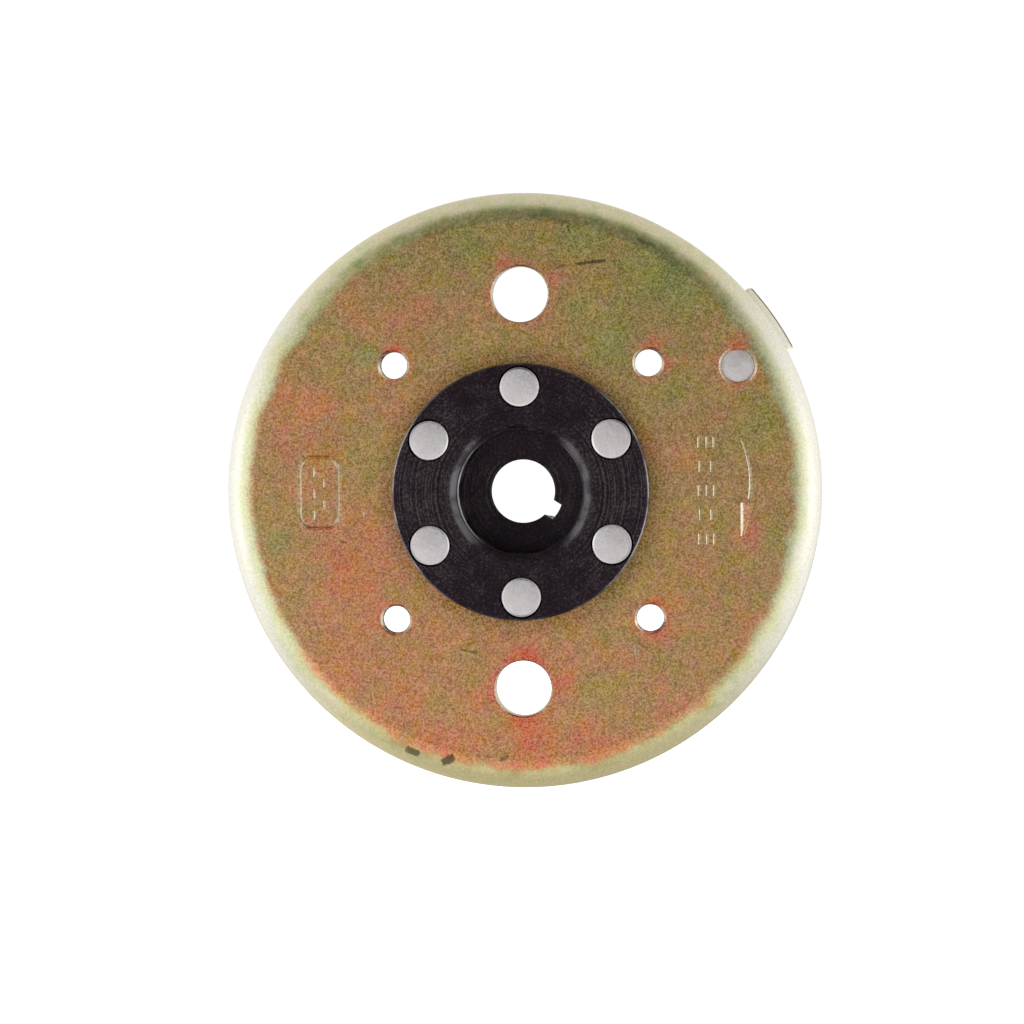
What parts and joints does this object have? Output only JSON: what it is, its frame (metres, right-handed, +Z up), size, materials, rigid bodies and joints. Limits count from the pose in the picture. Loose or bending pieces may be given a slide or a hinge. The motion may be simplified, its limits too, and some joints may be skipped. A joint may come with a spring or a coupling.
{
  "type": "flywheel",
  "caption": "Magneto flywheel of a small scooter engine: plated steel cup riveted to a black tapered hub, with a ring of ferrite magnets inside.",
  "frame": {"origin": "on the spin axis, at the large end of the crank taper, which is the hub's inner end face", "axes": "+Y along the spin axis from the closed face towards the engine side, so the closed face looks along -Y; +Z up; +X to the right as seen on the closed face"},
  "size_m": [0.112, 0.039, 0.112],
  "materials": {
    "zinc_plated_steel": "yellow chromated zinc plate, mottled, satin",
    "black_oxide_steel": "turned, black oxide",
    "bare_steel": "matte bare steel",
    "ferrite": "ground ferrite, matte",
    "moulded_resin": "moulded resin, satin",
    "stainless_sleeve": "rolled stainless sheet"
  },
  "bodies": {
    "root": {"rotor_cup": "zinc_plated_steel", "hub": "black_oxide_steel", "hub_rivet_1": "bare_steel", "hub_rivet_2": "bare_steel", "hub_rivet_3": "bare_steel", "hub_rivet_4": "bare_steel", "hub_rivet_5": "bare_steel", "hub_rivet_6": "bare_steel", "magnet_1": "ferrite", "magnet_2": "ferrite", "magnet_3": "ferrite", "magnet_4": "ferrite", "magnet_5": "ferrite", "magnet_6": "ferrite", "magnet_spacer_1": "moulded_resin", "magnet_spacer_2": "moulded_resin", "magnet_spacer_3": "moulded_resin", "magnet_spacer_4": "moulded_resin", "magnet_spacer_5": "moulded_resin", "magnet_spacer_6": "moulded_resin", "back_spacer_ring": "moulded_resin", "magnet_retainer": "stainless_sleeve", "index_pin": "bare_steel", "trigger_pad": "zinc_plated_steel"}
  },
  "joints": []
}
